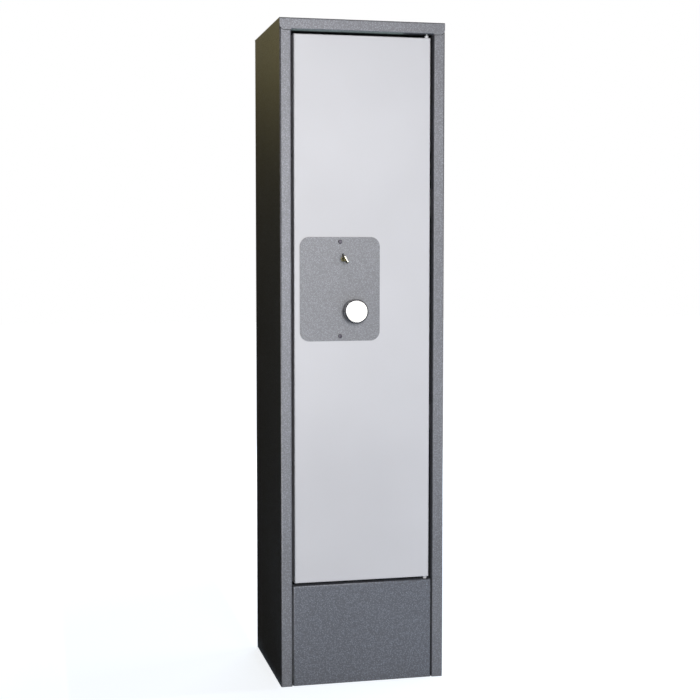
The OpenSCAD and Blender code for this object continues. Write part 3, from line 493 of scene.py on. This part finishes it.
# key, in mm outwards from the cabinet's front; nose gives a radius and how far it is past the bow's root
keyShape = dict(turn=30.0, bowAcross=19.0, bowLong=22.0, bowBar=5.2, bowThick=2.6, bowEdge=0.35, squareness=7,
                shank=3.75, nose=((0.0, 1.5), (2.2, 1.5), (3.4, -0.5), (3.75, -1.5)), collar=5.2,
                collarFrom=5.0, collarTo=7.5, collarChamfer=0.4, tip=2.75, tipTo=-35.0, tipChamfer=0.6)
bitShape = dict(thick=2.6, root=2.0, reach=11.0, begins=14.3, ends=30.0, land=0.72,
                cuts=(0, 2.4, 1.2, 3, 0.8, 2))
keyX, keyZ = jointPlace("key_turn")[0], jointPlace("key_turn")[2]
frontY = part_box("wrap_shell")[0][1]
lean = math.radians(keyShape["turn"])
upKey = np.array([-math.sin(lean), 0, math.cos(lean)])
acrossKey = np.array([math.cos(lean), 0, math.sin(lean)])
outKey = np.array([0, -1.0, 0])
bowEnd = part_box("key")[0][1]
bowRoot = bowEnd + keyShape["bowLong"] * mm


def makeKeyBow():
    # nested squarish ovals, |x / (a + s)|^7 + |y / (b + s)|^7 = 1: s and the thickness are the bar's section
    turn = np.linspace(0, 2 * math.pi, 144, endpoint=False)
    power = 2 / keyShape["squareness"]
    section = roundedRing(keyShape["bowBar"] * mm, keyShape["bowThick"] * mm, keyShape["bowEdge"] * mm)
    halfAcross = (keyShape["bowAcross"] - keyShape["bowBar"]) / 2 * mm + section[:, 0]
    halfLong = (keyShape["bowLong"] - keyShape["bowBar"]) / 2 * mm + section[:, 0]
    x = (np.sign(np.cos(turn)) * np.abs(np.cos(turn)) ** power)[:, None] * halfAcross
    y = (np.sign(np.sin(turn)) * np.abs(np.sin(turn)) ** power)[:, None] * halfLong
    centre = np.array([keyX, (bowEnd + bowRoot) / 2, keyZ])
    verts = centre + x[..., None] * upKey + y[..., None] * outKey + section[None, :, 1:] * acrossKey
    faces = gridFaces(len(turn), len(section), closeRows=True, closeColumns=True)
    bow = addPiece("keyBow", verts, faces, "key", "keyShank", "key_nickel", ("key",), 40)
    # the bow's outward end keeps the bright nickel, its flats take the dull olive: painted shade on the faces
    # turned from the light
    bow.data.materials.append(finishes["key_nickel"])
    normals = np.empty(len(bow.data.polygons) * 3)
    centres = np.empty_like(normals)
    bow.data.polygons.foreach_get("normal", normals)
    bow.data.polygons.foreach_get("center", centres)
    bright = (normals.reshape(-1, 3) @ outKey > 0.6) & (centres.reshape(-1, 3)[:, 1] < bowEnd + 1.2 * mm)
    bow.data.polygons.foreach_set("material_index", bright.astype(np.int32))


def makeKeyShank():
    # from inside the bow, over the collar at the keyhole, to the pivot tip
    shank, collar, tip = keyShape["shank"], keyShape["collar"], keyShape["tip"]
    near, far, chamfer = keyShape["collarTo"], keyShape["collarFrom"], keyShape["collarChamfer"]
    root = (frontY - bowRoot) / mm
    tipFrom, tipTo, tipChamfer = -bitShape["ends"], keyShape["tipTo"], keyShape["tipChamfer"]
    profile = [(radius, root + past) for radius, past in keyShape["nose"]]
    profile += [(shank, near), (collar, near - chamfer), (collar, far + chamfer), (shank, far)]
    profile += [(shank, tipFrom), (tip, tipFrom), (tip, tipTo + tipChamfer), (tip - tipChamfer, tipTo)]
    profile += [(0, tipTo)]
    # the shank is all dull olive: painted shade and reflection on the key's nickel
    addPiece("keyShank", *turned(profile, (keyX, frontY, keyZ), 64), "key", "keyShank", "key_nickel")


def makeKeyBit():
    # a plate whose free edge is cut in steps: each step has a cut land and a full-height tooth
    cuts = np.array(bitShape["cuts"])
    step = (bitShape["ends"] - bitShape["begins"]) / len(cuts)
    starts = bitShape["begins"] + step * np.arange(len(cuts))
    full = np.full(len(cuts), bitShape["reach"])
    teeth = np.stack([[starts, full - cuts], [starts + bitShape["land"] * step, full - cuts],
                      [starts + bitShape["land"] * step, full], [starts + step, full]]).transpose(2, 0, 1)
    outline = np.concatenate([[(bitShape["begins"], bitShape["root"])], teeth.reshape(-1, 2),
                              [(bitShape["ends"], bitShape["root"])]])
    apart = np.linalg.norm(np.diff(outline, axis=0), axis=1) > 0.01
    outline = outline[np.concatenate([[True], apart])]
    flat = np.array([keyX, frontY, keyZ]) - outline[:, :1] * mm * outKey + outline[:, 1:] * mm * upKey
    half = bitShape["thick"] / 2 * mm * acrossKey
    count = len(outline)
    faces = [list(range(count)), list(range(2 * count - 1, count - 1, -1))]
    faces += [[k, (k + 1) % count, (k + 1) % count + count, k + count] for k in range(count)]
    addPiece("keyBit", np.stack([flat - half, flat + half]), faces, "key", "key_nickel", "key_nickel")


makeKeyBow()
makeKeyShank()
makeKeyBit()
print("key made")


# the door's back cover: a sheet pressed with a framing bead and two cross beads
coverShape = dict(thick=1.5, beadHigh=0.88, beadHalf=7.0, frameInset=34.0, frameRound=26.0, cell=3.2,
                  crossAt=(-0.25, 0.25), crossShort=30.0, crossHalf=4.0, crossSoft=10.0)


def boxDistance(x, z, halfX, halfZ, radius):
    # signed distance to a rounded rectangle
    qx, qz = np.abs(x) - halfX + radius, np.abs(z) - halfZ + radius
    return np.hypot(np.maximum(qx, 0), np.maximum(qz, 0)) + np.minimum(np.maximum(qx, qz), 0) - radius


def bead(distance, half):
    # raised cosine, one over the bead's middle and nought past its half width
    return 0.5 + 0.5 * np.cos(math.pi * np.clip(np.abs(distance) / half, 0, 1))


def makeBackCover():
    low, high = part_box("door_back_cover")
    spanX, spanZ = (high[0] - low[0]) / mm, (high[2] - low[2]) / mm
    x, z = np.meshgrid(np.linspace(-spanX / 2, spanX / 2, int(spanX / coverShape["cell"])),
                       np.linspace(-spanZ / 2, spanZ / 2, int(spanZ / coverShape["cell"])), indexing="ij")
    halfX, halfZ = spanX / 2 - coverShape["frameInset"], spanZ / 2 - coverShape["frameInset"]
    rise = bead(boxDistance(x, z, halfX, halfZ, coverShape["frameRound"]), coverShape["beadHalf"])
    crossHalf = coverShape["crossHalf"]
    for share in coverShape["crossAt"]:
        slot = boxDistance(x, z - share * spanZ, halfX - coverShape["crossShort"], crossHalf, crossHalf)
        rise = np.maximum(rise, bead(slot + crossHalf, coverShape["crossSoft"]))
    inside = np.stack([(low[0] + high[0]) / 2 + x * mm, high[1] + rise * coverShape["beadHigh"] * mm,
                       (low[2] + high[2]) / 2 + z * mm], axis=-1)
    outside = inside - np.array([0, coverShape["thick"] * mm, 0])
    addPiece("doorBackCover", np.stack([inside, outside]), sheetFaces(*x.shape), "door", "plate_paint",
             "plate_paint", ("door_back_cover",), 40)


makeBackCover()
print("door cover pressed")


# rubber edging pushed over the rack's sheet and felt, round each barrel notch
edging = dict(notches=3, notchWidth=42.0, sideMargins=60.0, backMargin=62.0, rackSheet=2.0, wall=1.6,
              reach=5.0, gap=0.05, armPoints=8, arcPoints=49)


def makeNotchEdging(number):
    # a channel section carried along the notch: up one arm, round a half circle and down the other arm
    rackLow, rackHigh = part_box("barrel_rack")
    radius = edging["notchWidth"] / 2 * mm
    pitch = ((rackHigh[0] - rackLow[0]) - edging["sideMargins"] * mm) / edging["notches"]
    midX = (number - (edging["notches"] - 1) / 2) * pitch
    backY = rackHigh[1] - edging["backMargin"] * mm
    armY = np.linspace(rackLow[1], backY, edging["armPoints"] + 1)[:-1]
    arc = np.radians(np.linspace(180, 0, edging["arcPoints"]))
    planX = np.concatenate([np.full(len(armY), midX - radius), midX + radius * np.cos(arc),
                            np.full(len(armY), midX + radius)])
    planY = np.concatenate([armY, backY + radius * np.sin(arc), armY[::-1]])
    sheetLow, sheetHigh = rackHigh[2] - edging["rackSheet"] * mm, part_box("rack_felt")[1][2]
    path = np.stack([planX, planY, np.full(len(planX), (sheetLow + sheetHigh) / 2)], axis=-1)
    half = (sheetHigh - sheetLow) / 2 + edging["gap"] * mm
    wall, reach = edging["wall"] * mm, edging["reach"] * mm
    upper = [(wall, half + wall / 2), (wall / 2, half + wall), (-reach, half + wall), (-reach, half)]
    upper += [(0, half)]
    channel = upper + [(x, -z) for x, z in upper[::-1]]
    addPiece("notchEdging%d" % (number + 1), *carried(path, (0, 0, 1.0), channel), "cabinet", "bumper_rubber",
             "bumper_rubber")


for notch in range(edging["notches"]):
    makeNotchEdging(notch)
print("rack edging laid")


# a dark bead in the open seam between the roof strip's rounded corner and the stile: partly dust, partly painted
# shade of the gap
seamShape = dict(corner=11.0, gap=1.1, width=1.9, deep=1.2, edge=0.3, proud=0.02, stripHigh=25.0, stile=24.0,
                 endShort=0.2, fromSide=1.2)


def makeRoofSeam(number, sideSign):
    # a bar carried round a quarter circle at the outer corner, then level to the stile's inner edge
    roofLow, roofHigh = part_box("roof_pan")
    outerX = roofLow[0] if sideSign > 0 else roofHigh[0]
    radius = (seamShape["corner"] + seamShape["gap"] / 2) * mm
    levelZ = roofHigh[2] - (seamShape["stripHigh"] + seamShape["gap"] / 2) * mm
    bend = np.radians(np.linspace(180, 270, 25))
    arcX = seamShape["corner"] * mm + radius * np.cos(bend)
    arcZ = levelZ + radius + radius * np.sin(bend)
    runX = np.linspace(arcX[-1], (seamShape["stile"] - seamShape["endShort"]) * mm, 8)[1:]
    inX, lineZ = np.concatenate([arcX, runX]), np.concatenate([arcZ, np.full(len(runX), levelZ)])
    kept = inX > seamShape["fromSide"] * mm
    midY = roofLow[1] + (seamShape["deep"] / 2 - seamShape["proud"]) * mm
    path = np.stack([outerX + sideSign * inX[kept], np.full(kept.sum(), midY), lineZ[kept]], axis=-1)
    bar = roundedRing(seamShape["width"] * mm, seamShape["deep"] * mm, seamShape["edge"] * mm, 3)
    addPiece("roofSeam%d" % number, *carried(path, (0, -1.0, 0), bar), "cabinet", "seamShadow",
             "cabinet_paint")


makeRoofSeam(1, 1)
makeRoofSeam(2, -1)
print("roof seams filled")


cameraSettings = dict(place=(-0.6856, -2.8058, 0.9088), yaw=12.13, down=3.44, roll=-0.09, lens=66.97,
                      sensor=36, shift=(0.0571, -0.0214), farClip=60)
camera = bpy.data.objects.new("camera", bpy.data.cameras.new("camera"))
bpy.context.collection.objects.link(camera)
aim = (Matrix.Rotation(math.radians(-cameraSettings["yaw"]), 4, "Z")
       @ Matrix.Rotation(math.radians(90 - cameraSettings["down"]), 4, "X")
       @ Matrix.Rotation(math.radians(cameraSettings["roll"]), 4, "Z"))
camera.matrix_world = Matrix.Translation(cameraSettings["place"]) @ aim
camera.data.lens = cameraSettings["lens"]
camera.data.sensor_width = cameraSettings["sensor"]
camera.data.shift_x, camera.data.shift_y = cameraSettings["shift"]
camera.data.clip_end = cameraSettings["farClip"]
bpy.context.scene.camera = camera


def quadMesh(name, corners, material):
    # flat quads, four corners each
    mesh = bpy.data.meshes.new(name)
    mesh.from_pydata(corners, [], np.arange(len(corners)).reshape(-1, 4).tolist())
    mesh.materials.append(material)
    piece = bpy.data.objects.new(name, mesh)
    bpy.context.collection.objects.link(piece)
    return piece


# a matt floor: the camera sees it lifted to near white, more so further off; for light it is a mid grey
floorSettings = dict(size=30.0, colour="#9caec2", glow=0.8, farGlow=1.02, liftFrom=0.7, liftTo=2.4)
floorPaint = emptyMaterial("mattPaleFloor")
floorTree = floorPaint.node_tree
floorMatt = addNode(floorTree, "ShaderNodeBsdfDiffuse", None, Color=linear(floorSettings["colour"]))
floorPlace = addNode(floorTree, "ShaderNodeTexCoord").outputs["Object"]
away = addNode(floorTree, "ShaderNodeVectorMath", {"operation": "LENGTH"}, at0=floorPlace)
lift = addNode(floorTree, "ShaderNodeMapRange", None, Value=away.outputs["Value"],
               From_Min=floorSettings["liftFrom"], From_Max=floorSettings["liftTo"],
               To_Min=floorSettings["glow"], To_Max=floorSettings["farGlow"])
seen = addNode(floorTree, "ShaderNodeLightPath").outputs["Is Camera Ray"]
glowPower = addNode(floorTree, "ShaderNodeMath", {"operation": "MULTIPLY"}, at0=seen, at1=lift)
glow = addNode(floorTree, "ShaderNodeEmission", None, Strength=glowPower)
lifted = addNode(floorTree, "ShaderNodeAddShader", None, at0=floorMatt, at1=glow)
addNode(floorTree, "ShaderNodeOutputMaterial", None, Surface=lifted)
floorHalf = floorSettings["size"] / 2
quadMesh("studioFloor", [(-floorHalf, -floorHalf, 0), (floorHalf, -floorHalf, 0), (floorHalf, floorHalf, 0),
                         (-floorHalf, floorHalf, 0)], floorPaint)

lamps = {
    "keySoftbox": dict(place=(-0.3, -3.6, 1.28), target=(0, 0, 0.8), size=(1.5, 1.6), power=108,
                       colour=(1.0, 0.978, 0.962)),
    "knobPanel": dict(place=(0.75, -3.2, 0.66), target=(-0.02, -0.15, 0.79), size=(1.1, 0.9), power=3.1),
    "rightPanel": dict(place=(1.5, -3.5, 1.3), target=(0.15, -0.15, 0.95), size=(0.6, 1.1), power=7),
    "rightWash": dict(place=(2.6, 0.6, 1.6), target=(0.15, 0, 0.7), size=(1.4, 1.6), power=30),
    "backWash": dict(place=(0.9, 2.8, 1.8), target=(0, 0, 0.7), size=(2.0, 1.6), power=60),
    "oliveGlow": dict(place=(-0.95, 1.1, 1.62), target=(-0.18, 0, 1.34), size=(0.3, 0.3), power=1.3,
                      colour=(1.0, 0.83, 0.3)),
    # a faint strip lamp in the gap over the door, so the roof strip's underside isn't lost
    "gapLamp": dict(place=(-0.03, -0.1395, 1.3697), target=(-0.03, -0.1395, 1.4), size=(0.24, 0.014),
                    power=0.012, colour=(0.75, 1.0, 0.9)),
}


def areaLight(name, settings):
    data = bpy.data.lights.new(name, "AREA")
    data.shape = "RECTANGLE"
    data.size, data.size_y = settings["size"]
    data.energy = settings["power"]
    data.color = settings.get("colour", (1, 1, 1))
    lamp = bpy.data.objects.new(name, data)
    bpy.context.collection.objects.link(lamp)
    lamp.location = settings["place"]
    aim = Vector(settings["target"]) - Vector(settings["place"])
    lamp.rotation_euler = aim.to_track_quat("-Z", "Y").to_euler()
    return lamp


lampPieces = {name: areaLight(name, settings) for name, settings in lamps.items()}
lampPieces["gapLamp"].visible_camera = False

# a dark flag and cloth beside the left wall and a card behind them: unseen, they keep light off that wall
flagShape = dict(left=-0.62, front=-0.9, back=1.3, foot=0.01, top=2.2, clothHigh=0.004, clothFront=-0.16,
                 clothRight=-0.185, cardRight=-0.2, cardTop=1.5, colour="#201e17")


def flagCorners():
    left, back, foot = flagShape["left"], flagShape["back"], flagShape["foot"]
    front, top = flagShape["front"], flagShape["top"]
    upright = [(left, front, foot), (left, back, foot), (left, back, top), (left, front, top)]
    near, right, high = flagShape["clothFront"], flagShape["clothRight"], flagShape["clothHigh"]
    cloth = [(left, near, high), (right, near, high), (right, back, high), (left, back, high)]
    side, cardTop = flagShape["cardRight"], flagShape["cardTop"]
    card = [(left, back, foot), (side, back, foot), (side, back, cardTop), (left, back, cardTop)]
    return upright + cloth + card


flagPaint = closeMaterial(emptyMaterial("blackFlock"), Base_Color=linear(flagShape["colour"]), Roughness=1.0,
                          Specular_IOR_Level=0.0)
darkFlag = quadMesh("darkFlag", flagCorners(), flagPaint)
darkFlag.visible_camera = False
darkFlag.visible_shadow = False

# the world is white to the camera and dim as a light
world = bpy.data.worlds.new("studio")
bpy.context.scene.world = world
world.use_nodes = True
worldTree = world.node_tree
worldTree.nodes.clear()
dim = addNode(worldTree, "ShaderNodeBackground", None, Color=white, Strength=0.2)
bright = addNode(worldTree, "ShaderNodeBackground", None, Color=white, Strength=1.0)
rays = addNode(worldTree, "ShaderNodeLightPath").outputs["Is Camera Ray"]
both = addNode(worldTree, "ShaderNodeMixShader", None, at0=rays, at1=dim, at2=bright)
addNode(worldTree, "ShaderNodeOutputWorld", None, Surface=both)
bpy.context.scene.view_settings.view_transform = "Standard"
print("camera and lights set")
